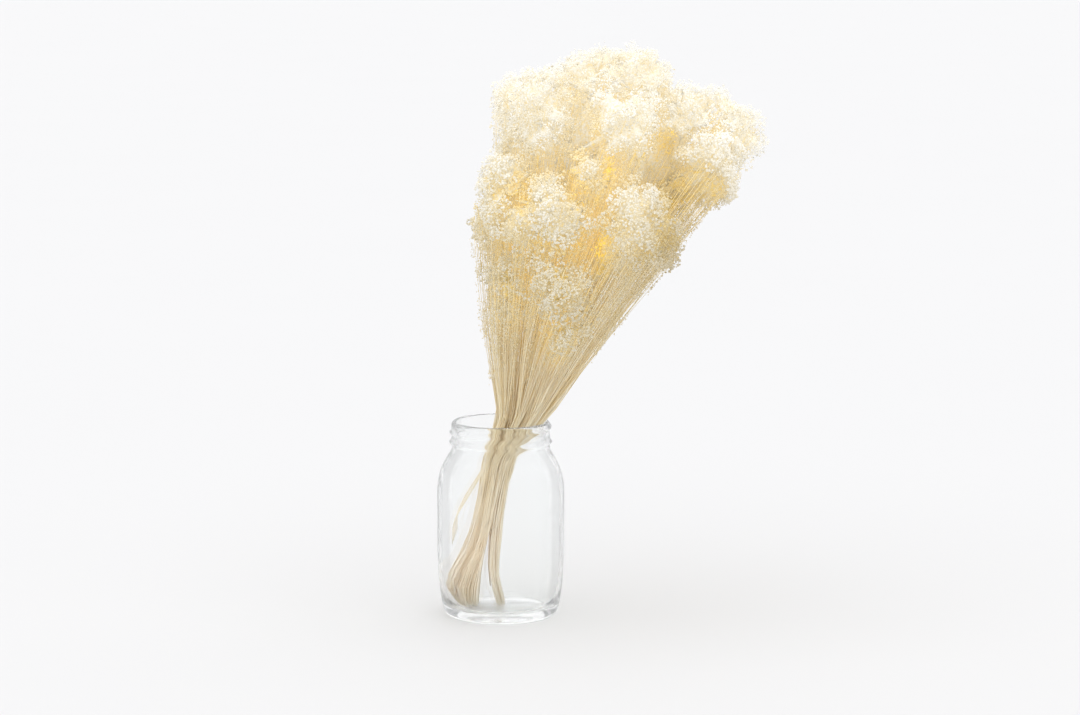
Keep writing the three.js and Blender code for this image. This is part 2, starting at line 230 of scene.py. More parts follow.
class JarSettings(bpy.types.PropertyGroup):
    thread_height: amount("Thread height", "How far the thread stands out", 0.0014, unit="LENGTH")
    thread_pitch: amount("Thread pitch", "How far it rises in one turn", 0.0074, unit="LENGTH")
    bead_height: amount("Bead height", "How far the bead stands out", 0.0017, unit="LENGTH")
    tint: paint("Glass tint", "Colour of the glass", (0.995, 1.0, 0.998))
    softness: amount("Softness", "Share of light that isn't bent", 0.15, subtype="FACTOR")


class StemSettings(bpy.types.PropertyGroup):
    count: bpy.props.IntProperty(name="Stems", description="Stems in each spray", default=36, min=3)
    radius: amount("Stem radius", "Radius of a stem at the neck", 0.00036, unit="LENGTH")
    pale: paint("Pale straw", "Colour of the palest stems", (1.0, 0.94, 0.76))
    tan: paint("Tan", "Colour of the darkest stems", (0.94, 0.79, 0.47))
    # This gold is painted shade, given to stems the deeper they lie inside the flowers
    painted_gold: paint("Golden", "Colour of the stems inside the flowers", (1.0, 0.80, 0.36))
    cut: paint("Cut ends", "Colour of the stems in the jar", (1.0, 0.90, 0.73))


class BloomSettings(bpy.types.PropertyGroup):
    bud_radius: amount("Bud radius", "Mean radius of a bud", 0.00080, unit="LENGTH")
    tuft_radius: amount("Tuft radius", "Mean radius of a tuft of buds", 0.0050, unit="LENGTH")
    tuft_gap: amount("Tuft gap", "Least distance between tufts", 0.0047, unit="LENGTH")
    buds: bpy.props.IntProperty(name="Buds", description="Buds in a tuft of mean size", default=18)
    # Painted shade: buds go from cream to straw, butter and gold the deeper and more shut in they lie
    cream: paint("Cream", "Colour of the outermost buds", (0.56, 0.545, 0.49))
    straw: paint("Straw", "Colour of the low and half hidden buds", (0.54, 0.515, 0.44))
    butter: paint("Butter", "Colour of the buds deep in a head", (0.62, 0.52, 0.29))
    gold: paint("Gold", "Colour of the buds in hollows", (0.90, 0.67, 0.18))
    # Strength of the painted glow: emission that stands for light thin petals let through
    glow: amount("Light let through", "Light that thin petals pass on", 0.55)


class StageSettings(bpy.types.PropertyGroup):
    floor: paint("Floor", "Colour of the floor", (0.67, 0.67, 0.675))
    daylight: amount("Daylight", "Strength of the light all round", 1.0)
    key: amount("Key light", "Strength of the soft light from above", 1.35)
    pitch: amount("Camera pitch", "How far it looks down", math.radians(8.05), unit="ROTATION")


class BroomSettings(bpy.types.PropertyGroup):
    jar: bpy.props.PointerProperty(type=JarSettings)
    stems: bpy.props.PointerProperty(type=StemSettings)
    bloom: bpy.props.PointerProperty(type=BloomSettings)
    stage: bpy.props.PointerProperty(type=StageSettings)


class Value:
    """A shader socket used in Python expressions. Every operation adds one Math node."""

    def __init__(self, tree, socket):
        self.tree = tree
        self.socket = socket

    def math(self, operation, *operands):
        node = self.tree.nodes.new("ShaderNodeMath")
        node.operation = operation
        for socket, operand in zip(node.inputs, operands):
            if isinstance(operand, Value):
                self.tree.links.new(operand.socket, socket)
            else:
                socket.default_value = operand
        return Value(self.tree, node.outputs[0])

    def __add__(self, other):
        return self.math("ADD", self, other)

    def __radd__(self, other):
        return self.math("ADD", other, self)

    def __sub__(self, other):
        return self.math("SUBTRACT", self, other)

    def __rsub__(self, other):
        return self.math("SUBTRACT", other, self)

    def __mul__(self, other):
        return self.math("MULTIPLY", self, other)

    def __rmul__(self, other):
        return self.math("MULTIPLY", other, self)


class Finish:
    """One material or world, with one method that adds any node."""

    def __init__(self, owner):
        self.owner = owner
        owner.use_nodes = True
        self.tree = owner.node_tree

    def node(self, kind, settings=None, sockets=None, out=None):
        """Adds a shader node of a kind, sets its settings and then its sockets. Returns the output called
        out, or the first."""
        node = self.tree.nodes.new("ShaderNode" + kind)
        for key, value in (settings or {}).items():
            if key == "stops":
                ramp = node.color_ramp
                while len(ramp.elements) < len(value):
                    ramp.elements.new(1.0)
                for element, (position, colour) in zip(ramp.elements, value):
                    element.position = position
                    element.color = (*colour, 1.0)
            else:
                setattr(node, key, value)
        for key, value in (sockets or {}).items():
            self.set(node, key, value)
        found = [s for s in node.outputs if out in (None, s.identifier, s.name)]
        return Value(self.tree, found[0])

    def set(self, node, key, value):
        """Links or sets a node's socket, called by its name, its identifier or its number."""
        named = (socket for socket in node.inputs if key in (socket.identifier, socket.name))
        socket = node.inputs[key] if isinstance(key, int) else next(named)
        if isinstance(value, Value):
            self.tree.links.new(value.socket, socket)
        elif isinstance(value, (tuple, list)) and len(value) == 3 and len(socket.default_value) == 4:
            socket.default_value = (*value, 1.0)
        else:
            socket.default_value = value

    def surface(self, sockets):
        """Sets sockets of the material's Principled shader."""
        shader = self.tree.nodes["Principled BSDF"]
        for key, value in sockets.items():
            self.set(shader, key, value)
        return shader

    def mix(self, factor, a, b):
        """A colour between a and b."""
        return self.node(
            "Mix",
            {"data_type": "RGBA"},
            {"Factor_Float": factor, "A_Color": a, "B_Color": b},
            "Result_Color",
        )

    def ramp(self, factor, stops):
        """The colour at factor between stops of (position, colour)."""
        stops = [(position, tuple(colour)) for position, colour in stops]
        return self.node("ValToRGB", {"stops": stops}, {"Fac": factor}, "Color")

    def attribute(self, name):
        return self.node("Attribute", {"attribute_name": name}, out="Fac")

    def noise(self, scale, stretch=(1, 1, 1), detail=2.0):
        """Noise on the piece's Object coordinates."""
        spot = self.node("TexCoord", out="Object")
        spot = self.node("Mapping", {}, {"Vector": spot, "Scale": tuple(stretch)})
        sockets = {"Vector": spot, "Scale": scale, "Detail": detail}
        return self.node("TexNoise", {}, sockets, "Fac")

    def bump(self, height, distance, strength):
        sockets = {"Height": height, "Distance": distance, "Strength": strength}
        return self.node("Bump", {}, sockets)


def unit(vectors):
    """Vectors over their lengths, along the last axis."""
    return vectors / np.maximum(np.linalg.norm(vectors, axis=-1, keepdims=True), 1e-12)


def smooth_step(low, high, values):
    """0 below low, 1 above high, and 3t² - 2t³ between them."""
    t = np.clip((values - low) / (high - low), 0, 1)
    return t * t * (3 - 2 * t)


def golden_turns(count):
    """Turns by one golden angle after another."""
    return np.arange(count) * math.pi * (3 - math.sqrt(5))


def even_directions(count):
    """Directions spread evenly over a sphere: heights in equal steps, each turned by the golden angle."""
    z = 1 - 2 * (np.arange(count) + 0.5) / count
    turn = golden_turns(count)
    return np.stack([np.sqrt(1 - z * z) * np.cos(turn), np.sqrt(1 - z * z) * np.sin(turn), z], 1)


def square_to(axes, hints):
    """Two unit vectors square to each axis: it crossed with a hint, and it crossed with that one."""
    first = unit(np.cross(axes, hints))
    return first, np.cross(axes, first)


def circle(first, second, sides):
    """Points on unit circles (..., sides, 3): cosine and sine of even turns along two directions."""
    turn = TURN * np.arange(sides) / sides
    return first[..., None, :] * np.cos(turn)[:, None] + second[..., None, :] * np.sin(turn)[:, None]


def ring_walls(rows, columns, flip=False):
    """Faces (n, 4) between closed rings of points, one ring of columns points after another."""
    row = np.arange(rows - 1)[:, None] * columns
    k = np.arange(columns)
    after = (k + 1) % columns
    faces = np.stack([row + k, row + after, row + columns + after, row + columns + k], -1).reshape(-1, 4)
    return faces[:, (0, 3, 2, 1)] if flip else faces


def ring_cap(start, columns, middle, flip=False):
    """Faces (columns, 3) between one closed ring of points, the first of them start, and a middle point."""
    k = np.arange(columns)
    faces = np.stack([start + k, start + (k + 1) % columns, 0 * k + middle], -1)
    return faces[:, (1, 0, 2)] if flip else faces


def smooth_curve(points, count):
    """Catmull-Rom curves through points (n, m, 3), sampled at count even steps of chord length."""
    before = 2 * points[:, :1] - points[:, 1:2]
    after = 2 * points[:, -1:] - points[:, -2:-1]
    ends = np.concatenate([before, points, after], 1)
    chord = np.linalg.norm(np.diff(points, axis=1), axis=2).mean(0)
    knots = np.concatenate([[0], np.cumsum(chord)])
    at = np.linspace(0, knots[-1], count)
    span = np.clip(np.searchsorted(knots, at, side="right") - 1, 0, len(chord) - 1)
    t = ((at - knots[span]) / chord[span])[None, :, None]
    a, b, c, d = (ends[:, span + k] for k in range(4))
    return 0.5 * (2 * b + (c - a) * t + (2 * a - 5 * b + 4 * c - d) * t**2 + (3 * b - a - 3 * c + d) * t**3)


class Shape:
    """Vertices, faces and point attributes gathered from several surfaces, for one mesh."""

    def __init__(self):
        self.points, self.faces, self.leans = [], [], []
        self.values = {"tone": [], "depth": [], "packed": []}
        self.count = 0

    def add(self, points, faces, tone, depth, packed=0.0, lean=(0.0, 0.0, 0.0)):
        """Adds points (n, 3), faces (k, 3 or 4), each point's tone, depth and whether it is packed florets,
        and what is added to its normal."""
        self.points.append(points.reshape(-1, 3))
        self.faces.append(faces.reshape(-1, faces.shape[-1]) + self.count)
        number = self.points[-1].shape[0]
        for label, value in (("tone", tone), ("depth", depth), ("packed", packed)):
            self.values[label].append(np.broadcast_to(value, number))
        self.leans.append(np.broadcast_to(lean, (number, 3)))
        self.count += number

    def piece(self, name, material, smooth=True):
        """Makes the mesh and its object."""
        mesh = bpy.data.meshes.new(name)
        points = np.concatenate(self.points)
        corners = np.concatenate([f.ravel() for f in self.faces])
        sizes = np.concatenate([np.full(len(f), f.shape[1]) for f in self.faces])
        mesh.vertices.add(len(points))
        mesh.vertices.foreach_set("co", points.astype(np.float32).ravel())
        mesh.loops.add(len(corners))
        mesh.loops.foreach_set("vertex_index", corners.astype(np.int32))
        mesh.polygons.add(len(sizes))
        mesh.polygons.foreach_set("loop_start", (np.cumsum(sizes) - sizes).astype(np.int32))
        mesh.update(calc_edges=True)
        for label, values in self.values.items():
            attribute = mesh.attributes.new(label, "FLOAT", "POINT")
            attribute.data.foreach_set("value", np.concatenate(values).astype(np.float32))
        if smooth:
            mesh.shade_smooth()
        lean = np.concatenate(self.leans)
        if lean.any():
            normals = np.empty(3 * len(points), np.float32)
            mesh.vertex_normals.foreach_get("vector", normals)
            mesh.normals_split_custom_set_from_vertices(unit(normals.reshape(-1, 3) + lean).tolist())
        mesh.materials.append(material)
        piece = bpy.data.objects.new(name, mesh)
        bpy.context.scene.collection.objects.link(piece)
        return piece


def add_tubes(shape, paths, radii, sides, tone, depth):
    """Tubes round paths (n, m, 3) with a tone (n) and a depth (n, m): each ring is the path's point plus
    radius times cosine and sine of a turn along two directions square to the path. Both ends are closed."""
    count, length = paths.shape[:2]
    along = unit(np.gradient(paths, axis=1))
    hint = np.broadcast_to(unit(np.cross(along.mean(1), (0.31, 0.87, 0.38)))[:, None], along.shape)
    first, second = square_to(along, hint)
    points = paths[:, :, None] + radii[:, :, None, None] * circle(first, second, sides)
    base = np.arange(count)[:, None, None] * length * sides
    k = np.arange(sides)
    near = base[:, 0] + k[::-1]
    far = base[:, 0] + (length - 1) * sides + k
    walls = ring_walls(length, sides) + base
    start = shape.count
    shape.add(points, walls, np.repeat(tone, length * sides), np.repeat(depth, sides))
    shape.faces += [near + start, far + start]


def add_twigs(shape, roots, tips, radii, tone, depth, lean=(0.0, 0.0, 0.0)):
    """Hair-fine twigs and tiny florets: spikes from three points round the root to one at the tip."""
    along = unit(tips - roots)
    first, second = square_to(along, np.roll(along, 1, axis=1) + (0.1, 0.2, 0.3))
    ring = np.reshape(radii, (-1, 1, 1)) * circle(first, second, 3)
    points = np.concatenate([roots[:, None] + ring, tips[:, None]], 1)
    faces = np.array([(0, 1, 3), (1, 2, 3), (2, 0, 3), (2, 1, 0)])
    base = 4 * np.arange(len(roots))[:, None, None]
    lean = np.repeat(lean, 4, 0) if np.ndim(lean) == 2 else lean
    shape.add(points, faces + base, np.repeat(tone, 4), np.repeat(depth, 4), lean=lean)


def add_buds(shape, centres, axes, radii, hints, sides, tone, depth, lean):
    """Round buds: a few points on a ring square to the bud's axis, and one at either pole. Their normals
    lean the way that their tuft faces, because light goes through a thin bud and fills a tuft evenly."""
    first, second = square_to(axes, hints)
    shell = np.concatenate([circle(first, second, sides), axes[:, None], -axes[:, None]], 1)
    points = centres[:, None] + radii[:, None, None] * shell
    faces = np.concatenate([ring_cap(0, sides, sides), ring_cap(0, sides, sides + 1, flip=True)])
    each = sides + 2
    faces = faces + each * np.arange(len(centres))[:, None, None]
    shape.add(points, faces, np.repeat(tone, each), np.repeat(depth, each), lean=np.repeat(lean, each, 0))


def bearings(lean, depth):
    """Unit vectors at a lean to the right and a depth away from the viewer, in degrees."""
    return unit(np.stack([np.tan(np.radians(lean)), np.tan(np.radians(depth)), np.ones(len(lean))], 1))


def fan_points(lean, depth, reach):
    """Points at such bearings from the fan's point, and a reach in millimetres."""
    return FAN_POINT + bearings(lean, depth) * reach[:, None] / 1000


class Heads:
    """The flower heads as one soft field. A head's weight at a point is e to the power of sharpness times
    one less the square of the point's distance over the radius, with the lower half stretched and narrowed
    to a plume. The bunch's surface is where all weights add up to one value, so the places between heads
    are filled a little."""

    def __init__(self):
        lean, depth, reach, radius = SPRAYS.T
        crown = np.arange(len(lean)) < CROWN_COUNT
        self.sharpness = np.where(crown, *SHARPNESS)
        self.out = bearings(lean, depth)
        self.centre = fan_points(lean, depth, reach)
        self.radius = radius / 1000
        middle = unit(np.array((math.tan(math.radians(FAN_LEAN)), 0, 1)))
        sideways = unit(self.out - middle * (self.out @ middle)[:, None])
        self.taper = np.interp(smooth_step(*SIDE_LEANS, np.abs(lean - FAN_LEAN)), (0, 1), TAPER)
        self.faces = unit(self.out + sideways * np.where(crown, *FACING)[:, None])
        self.across = unit(np.cross((0.0, 1.0, 0.0), self.out))
        self.behind = np.cross(self.out, self.across)
        self.starts = fan_points(*HOLLOWS[:, :3].T)
        self.ends = fan_points(*HOLLOWS[:, 3:6].T)
        random = np.random.default_rng(WAVE_SEED)
        lengths = np.repeat(WAVE_LENGTHS, 4)[:, None]
        self.waves = unit(random.normal(size=(16, 3))) * TURN / lengths
        self.phases = random.uniform(0, TURN, 16)
        self.pushes = unit(random.normal(size=(16, 3))) * WAVE_PUSH * lengths
        lengths = random.uniform(*RIPPLE_LENGTHS, 20)[:, None]
        self.ripples = unit(random.normal(size=(20, 3))) * TURN / lengths
        for number, centre in enumerate(self.centre):
            low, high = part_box(node_name(number, "bloom"))
            if not np.all((centre > np.array(low)) & (centre < np.array(high))):
                raise RuntimeError(f"{node_name(number, 'bloom')} isn't where its spray's numbers say")

    def weights(self, points):
        """Each head's weight at points (..., 3), pushed about by waves so that no head is a plain ball."""
        waves = np.sin(points @ self.waves.T + self.phases)
        points = points + waves @ self.pushes
        apart = points[..., None, :] - self.centre
        height = np.sum(apart * self.faces, -1)
        across = np.sum(apart * apart, -1) - height**2
        low = np.clip(-height / (PLUME * self.radius), 0, 1)
        height = np.where(height < 0, height / PLUME, height)
        squared = (across / (1 - self.taper * low) ** 2 + height**2) / self.radius**2
        return np.exp(self.sharpness * (1 - squared))

    def hollow(self, points, wide=1.4):
        """How much points lie in each hollow (..., count): e to the power of less the square of the
        distance from the line between the hollow's ends over its radius. Hollows are two and a half times
        as deep as wide."""
        deep = np.array((1, 0.4, 1))
        along = (self.ends - self.starts) * deep
        apart = (points[..., None, :] - self.starts) * deep
        share = np.clip(np.sum(apart * along, -1) / np.sum(along * along, -1), 0, 1)
        squared = np.sum((apart - share[..., None] * along) ** 2, -1)
        return np.exp(-squared / (wide * HOLLOWS[:, 6] / 1000) ** 2)

    def total(self, points):
        """All weights together, times e to the power of a sum of short waves that makes billows of a
        centimetre or two, less the share that the hollows take away."""
        billows = np.exp(np.minimum(BILLOW * np.sin(points @ self.ripples.T).mean(-1), 0.2))
        return self.weights(points).sum(-1) * billows * (1 - HOLLOW_SHARE * self.hollow(points)).prod(-1)

    def sunk(self, points):
        """How deep points lie: 0 on the bunch's surface, about 1 in a head's middle, below 0 outside."""
        return np.log(np.maximum(self.weights(points).sum(-1) / SURFACE, 1e-9)) / 1.8

    def shut(self, points, facing):
        """How far flowers shut in points that face a way: 0 on a round head's free side, 1 in a hollow,
        from the weights 9 mm further out."""
        return smooth_step(0.55, 1.25, self.weights(points + 0.009 * facing).sum(-1))

    def golden(self, points):
        """How golden points are painted, as shade and glow: most in the middle of a hollow, 0 well away from
        all.
        """
        return (self.hollow(points, 1.3) * HOLLOWS[:, 7]).max(-1)

    def low(self, points):
        """1 in the thin low heads, 0 in the crown, by the distance from the fan's point: where painted shade
        falls. On the right more is low, because the crown hangs over it."""
        right = smooth_step(RIGHT_FROM, RIGHT_TO, points[..., 0])
        near, far = LOW_HEADS
        return 1 - smooth_step(near + LOW_RISE * right, far, np.linalg.norm(points - FAN_POINT, axis=-1))

    def outward(self, points):
        """The way in which the field falls fastest, from differences over a fifth of a millimetre."""
        step = 0.0002
        slopes = [self.total(points + step * way) - self.total(points - step * way) for way in np.eye(3)]
        return unit(-np.stack(slopes, -1))

    def surface(self, number, directions):
        """Distances from a head's middle along directions to the bunch's surface, or to where another
        head's weight is the greater, and True for the first kind. The step that crosses the surface is
        halved four times."""
        steps = np.linspace(0.25, 2.5, 16) * self.radius[number]
        ways = self.centre[number] + directions[:, None] * steps[:, None]
        out = self.total(ways) < SURFACE
        other = self.weights(ways).argmax(-1) != number
        last = len(steps) - 1
        stop = np.where(out.any(1), out.argmax(1), last)
        left = np.where(other.any(1), other.argmax(1), last + 1)
        free = out.any(1) & (left >= stop)
        at = np.clip(np.minimum(stop, left), 1, last)
        low, high = steps[at - 1], steps[at]
        for _ in range(4):
            middle = 0.5 * (low + high)
            beyond = self.total(self.centre[number] + directions * middle[:, None]) < SURFACE
            low, high = np.where(beyond, low, middle), np.where(beyond, middle, high)
        return np.where(free, high, steps[at - 1]), free


def node_name(number, kind):
    return f"spray_{number + 1:02d}_{kind}"


def bundle_line(number):
    """The line that a spray's solid stems take through the bundle: the middle of their corners at each
    level, and below those the cut ends' place by the bundle's width at the floor."""
    name = node_name(number, "stems")
    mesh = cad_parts[name].data
    points = np.empty(len(mesh.vertices) * 3)
    mesh.vertices.foreach_get("co", points)
    points = points.reshape(-1, 3)
    line = []
    for level in BUNDLE_LEVELS:
        here = points[np.abs(points[:, 2] - level) < LEVEL_ERROR]
        if not len(here):
            raise RuntimeError(f"{name} has no corners at {level} m")
        line.append(here.mean(0))
    neck = line[BUNDLE_LEVELS.index(NECK_LEVEL)]
    across = (neck[0] - NECK_MIDDLE) / NECK_WIDTH
    deep = neck[1] / NECK_DEPTH
    foot = BOTTOM_MIDDLE + BOTTOM_WIDTH * across, BOTTOM_DEPTH * deep
    return np.array([(*foot, JAR_FLOOR + 0.0004), (*foot, KNEE_LEVEL), *line])


def inner_radius(heights):
    """The jar's radius inside at heights in metres, by straight lines between the profile's points."""
    points = np.array(sorted((z, r) for r, z in JAR_INSIDE))
    return np.interp(heights * 1000, points[:, 0], points[:, 1]) / 1000


def straw_finish(settings):
    """Dry stems: straw to tan from stem to stem, finely streaked along, with painted golden shade and a
    painted glow inside the flowers.
    """
    finish = Finish(bpy.data.materials.new("dry straw"))
    streaks = finish.noise(900.0, (1, 1, 0.04), 3.0)
    tone = finish.attribute("tone") + (streaks - 0.5) * 0.5
    straw = finish.mix(tone, tuple(settings.pale), tuple(settings.tan))
    # Painted shade: stems turn gold the deeper inside the flowers and the hollows they lie
    colour = finish.mix(finish.attribute("depth"), straw, tuple(settings.painted_gold))
    spot = finish.node("TexCoord", out="Object")
    height = finish.node("SeparateXYZ", {}, {"Vector": spot}, "Z")
    colour = finish.mix((JAR_RIM + 0.005 - height) * 12.0, colour, tuple(settings.cut))
    shade = finish.bump(streaks, 0.0001, 0.4)
    finish.surface({"Base Color": colour, "Roughness": 0.62, "Normal": shade})
    # Painted glow: faint on all stems, golden deep inside the flowers
    painted_glow = finish.ramp(finish.attribute("depth"), PAINTED_GLOWS_ON_STEMS)
    finish.surface({"Emission Color": painted_glow, "Emission Strength": 1.0})
    finish.owner.cycles.emission_sampling = "NONE"
    return finish.owner


def bud_finish(settings):
    """Buds: cream outside, butter yellow and then gold the deeper they lie, which is painted shade, a little
    uneven from bud to bud. Where florets are packed they show as round cells, raised and pale in the
    middle with painted shade between them. Low heads and those under the crown on the right get more
    painted shade. A painted glow stands for what the thin petals let through to the ones behind."""
    finish = Finish(bpy.data.materials.new("cream buds"))
    spot = finish.node("TexCoord", out="Object")
    cells = finish.node("TexVoronoi", {}, {"Vector": spot, "Scale": 620.0}, "Distance")
    floret = (1.0 - cells * 1.5) * finish.attribute("packed")
    uneven = (finish.attribute("tone") - 0.5) * 0.14 + (finish.noise(420.0) - 0.5) * 0.1
    # Painted shade: deeper buds, packed florets and the edges of their cells get yellower, darker colours
    depth = finish.attribute("depth") + uneven + finish.attribute("packed") * 0.2 - floret * 0.4
    stops = (0.05, 0.35, 0.7, 1.0)
    colours = settings.cream, settings.straw, settings.butter, settings.gold
    colour = finish.ramp(depth, zip(stops, colours))
    # Painted shade: high is 0 in low heads, 1 in the crown; on the right, under the crown, buds turn dark
    # gold
    ends = {0: spot, 1: tuple(FAN_POINT)}
    reach = finish.node("VectorMath", {"operation": "DISTANCE"}, ends, "Value")
    across = finish.node("SeparateXYZ", {}, {"Vector": spot}, "X")
    right = finish.node("Clamp", {}, {"Value": (across - RIGHT_FROM) * 28.0})
    high = (reach - right * 0.065 - LOW_HEADS[0]) * (right * 7.0 + 8.5)
    high = finish.node("Clamp", {}, {"Value": high})
    colour = finish.mix((1.0 - high) * right * 0.45, colour, (0.32, 0.23, 0.08))
    finish.surface({"Base Color": colour, "Roughness": 0.8, "Specular IOR Level": 0.1})
    finish.surface({"Normal": finish.bump(floret, 0.0008, 0.5)})
    # Painted glow: emission by depth for light through thin petals, dimmed in low heads as painted shade
    painted_glow = finish.ramp(depth, zip(stops, PAINTED_GLOWS))
    shaded_glow = finish.mix(0.42, (0.16, 0.12, 0.035), painted_glow)
    painted_glow = finish.mix(high, shaded_glow, painted_glow)
    finish.surface({"Emission Color": painted_glow, "Emission Strength": settings.glow})
    finish.owner.cycles.emission_sampling = "NONE"
    return finish.owner


def glass_finish(settings):
    """Clear pressed glass, faintly wavy, that lets the lamps' light through to what stands in it."""
    finish = Finish(bpy.data.materials.new("clear glass"))
    waves = finish.bump(finish.noise(26.0, (1, 1, 0.5), 1.0), 0.002, 0.25)
    finish.surface({"Base Color": tuple(settings.tint), "Roughness": 0.015, "Normal": waves})
    shader = finish.surface({"IOR": GLASS_BEND, "Transmission Weight": 1.0})
    clear = finish.node("BsdfTransparent", {}, {"Color": (0.97, 0.98, 0.98)})
    mixed = Value(finish.tree, shader.outputs[0])
    rays = [finish.node("LightPath", out=kind) for kind in ("Is Diffuse Ray", "Is Shadow Ray")]
    for share in (settings.softness, *rays):
        sockets = {"Fac": share, "Shader": mixed, "Shader_001": clear}
        mixed = finish.node("MixShader", {}, sockets)
    finish.tree.links.new(mixed.socket, finish.tree.nodes["Material Output"].inputs["Surface"])
    return finish.owner


def floor_finish(settings):
    """Plain pale floor."""
    finish = Finish(bpy.data.materials.new("pale floor"))
    colour = np.array(settings.floor)
    colour = finish.mix(finish.noise(3.0), tuple(colour), tuple(0.99 * colour))
    finish.surface({"Base Color": colour, "Roughness": 0.7})
    return finish.owner


class BROOM_OT_stage(bpy.types.Operator):
    """Sets the camera at the photograph's angle, a wide pale floor, even daylight and a soft key light"""

    bl_idname = "broom.stage"
    bl_label = "Stage"

    def execute(self, context):
        scene = context.scene
        settings = scene.broom.stage
        camera = bpy.data.objects.new("camera", bpy.data.cameras.new("camera"))
        camera.data.sensor_width = SENSOR
        camera.data.lens = SENSOR * FOCAL_LENGTH / PHOTO_WIDTH
        camera.location = CAMERA_PLACE
        camera.rotation_euler = (math.pi / 2 - settings.pitch, 0, 0)
        scene.collection.objects.link(camera)
        scene.camera = camera

        rings = np.array((0.0, 0.3, 1.0, 3.0, 8.0, 20.0, 45.0))[:, None]
        columns = 64
        turns = TURN * np.arange(columns) / columns
        flat = np.zeros((len(rings), columns))
        shape = Shape()
        points = np.stack([rings * np.cos(turns), rings * np.sin(turns), flat], -1)
        shape.add(points, ring_walls(len(rings) - 1, columns, flip=True) + columns, 0.5, 0.0)
        shape.faces.append(ring_cap(columns, columns, 0))
        floor = shape.piece("floor", floor_finish(settings), smooth=False)
        floor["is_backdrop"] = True

        world = bpy.data.worlds.new("daylight")
        scene.world = world
        finish = Finish(world)
        way = finish.node("TexCoord", out="Generated")
        height = finish.node("SeparateXYZ", {}, {"Vector": way}, "Z")
        stops = (0.0, (0.75, 0.75, 0.76)), (0.4, (0.92, 0.92, 0.93)), (1.0, (1.0, 1.0, 1.0))
        sky = finish.ramp(height, stops)
        background = finish.tree.nodes["Background"]
        finish.set(background, "Color", sky)
        finish.set(background, "Strength", settings.daylight)

        for name, energy, spread, tilt, turn in (
            ("key", settings.key, 85, 20, -8),
            ("fill", 0.3 * settings.key, 90, 60, 160),
        ):
            light = bpy.data.objects.new(name, bpy.data.lights.new(name, "SUN"))
            light.data.energy = energy
            light.data.angle = math.radians(spread)
            light.rotation_euler = (math.radians(tilt), 0, math.radians(turn))
            light.visible_glossy = False
            scene.collection.objects.link(light)

        scene.view_settings.view_transform = "Standard"
        scene.view_settings.look = "None"
        scene.cycles.max_bounces = 40
        scene.cycles.diffuse_bounces = 30
        scene.cycles.transmission_bounces = 12
        scene.cycles.transparent_max_bounces = 12
        scene.cycles.caustics_reflective = False
        scene.cycles.caustics_refractive = False
        return {"FINISHED"}


class BROOM_OT_jar(bpy.types.Operator):
    """Makes the glass jar, turned from one profile, with a screw thread, a bead and a hollowed foot"""

    bl_idname = "broom.jar"
    bl_label = "Glass jar"

    def execute(self, context):
        settings = context.scene.broom.jar
        around = 128
        outside = profile_curve(JAR_OUTSIDE, 110)
        inside = profile_curve(JAR_INSIDE, 50)
        profile = np.concatenate([outside, inside])
        turns = TURN * np.arange(around) / around
        radius = np.repeat(profile[:, :1], around, 1)
        height = np.repeat(profile[:, 1:], around, 1)
        neck = (height > NECK_FOOT) & (np.arange(len(profile)) < len(outside))[:, None]
        bead = np.exp(-(((height - BEAD_LEVEL) / BEAD_WIDTH) ** 2)) * settings.bead_height
        thread = np.zeros_like(radius)
        for lap in (0, 1):
            turn = turns[None, :] + TURN * lap - math.pi
            level = THREAD_TOP + settings.thread_pitch * (turn - math.pi) / TURN
            ends = smooth_step(*THREAD_START, turn) * (1 - smooth_step(*THREAD_END, turn))
            thread += ends * np.exp(-(((height - level) / THREAD_WIDTH) ** 2)) * settings.thread_height
        radius = radius + np.where(neck, np.maximum(bead, thread), 0)
        points = np.stack([radius * np.cos(turns), radius * np.sin(turns), height], -1)
        last = (len(profile) - 1) * around
        shape = Shape()
        shape.add(points, ring_walls(len(profile), around), 0.5, 0.0)
        poles = np.array([(0, 0, 0.0016), (0, 0, profile[-1, 1])])
        start = shape.count
        shape.add(poles, np.zeros((0, 3), int), 0.5, 0.0)
        shape.faces += [ring_cap(0, around, start, flip=True), ring_cap(last, around, start + 1)]
        jar = shape.piece("glass_jar", glass_finish(settings))
        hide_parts("jar")
        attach(jar, "root")
        return {"FINISHED"}


def profile_curve(points, count):
    """A smooth curve through points (radius, height) in millimetres, at even steps of its length."""
    points = np.array(points) / 1000
    line = np.concatenate([points, np.zeros((len(points), 1))], 1)[None]
    fine = smooth_curve(line, 12 * count)[0, :, :2]
    length = np.concatenate([[0], np.cumsum(np.linalg.norm(np.diff(fine, axis=0), axis=1))])
    at = np.linspace(0, length[-1], count)
    return np.stack([np.interp(at, length, fine[:, 0]), np.interp(at, length, fine[:, 1])], 1)


class BROOM_OT_stems(bpy.types.Operator):
    """Makes each spray's stems: fine straws from their cut ends through the neck into the flower head"""

    bl_idname = "broom.stems"
    bl_label = "Stems"

    def execute(self, context):
        settings = context.scene.broom.stems
        finish = straw_finish(settings)
        heads = Heads()
        for number in range(len(SPRAYS)):
            random = np.random.default_rng(STEM_SEED + number)
            shape = Shape()
            paths = stem_paths(heads, number, settings.count, random)
            count, length = paths.shape[:2]
            taper = np.linspace(1.15, 0.45, length)
            radii = settings.radius * random.uniform(0.75, 1.25, (count, 1)) * taper
            # How deep inside the flowers each stem point lies: it sets the painted golden shade and glow
            depth = np.maximum(0.7 * smooth_step(-0.7, 0.4, heads.sunk(paths)), heads.golden(paths))
            add_tubes(shape, paths, radii, 3, random.beta(1.5, 3.0, count), depth)
            piece = shape.piece(f"stems_{number + 1:02d}", finish)
            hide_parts(node_name(number, "stems"))
            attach(piece, "root")
        return {"FINISHED"}


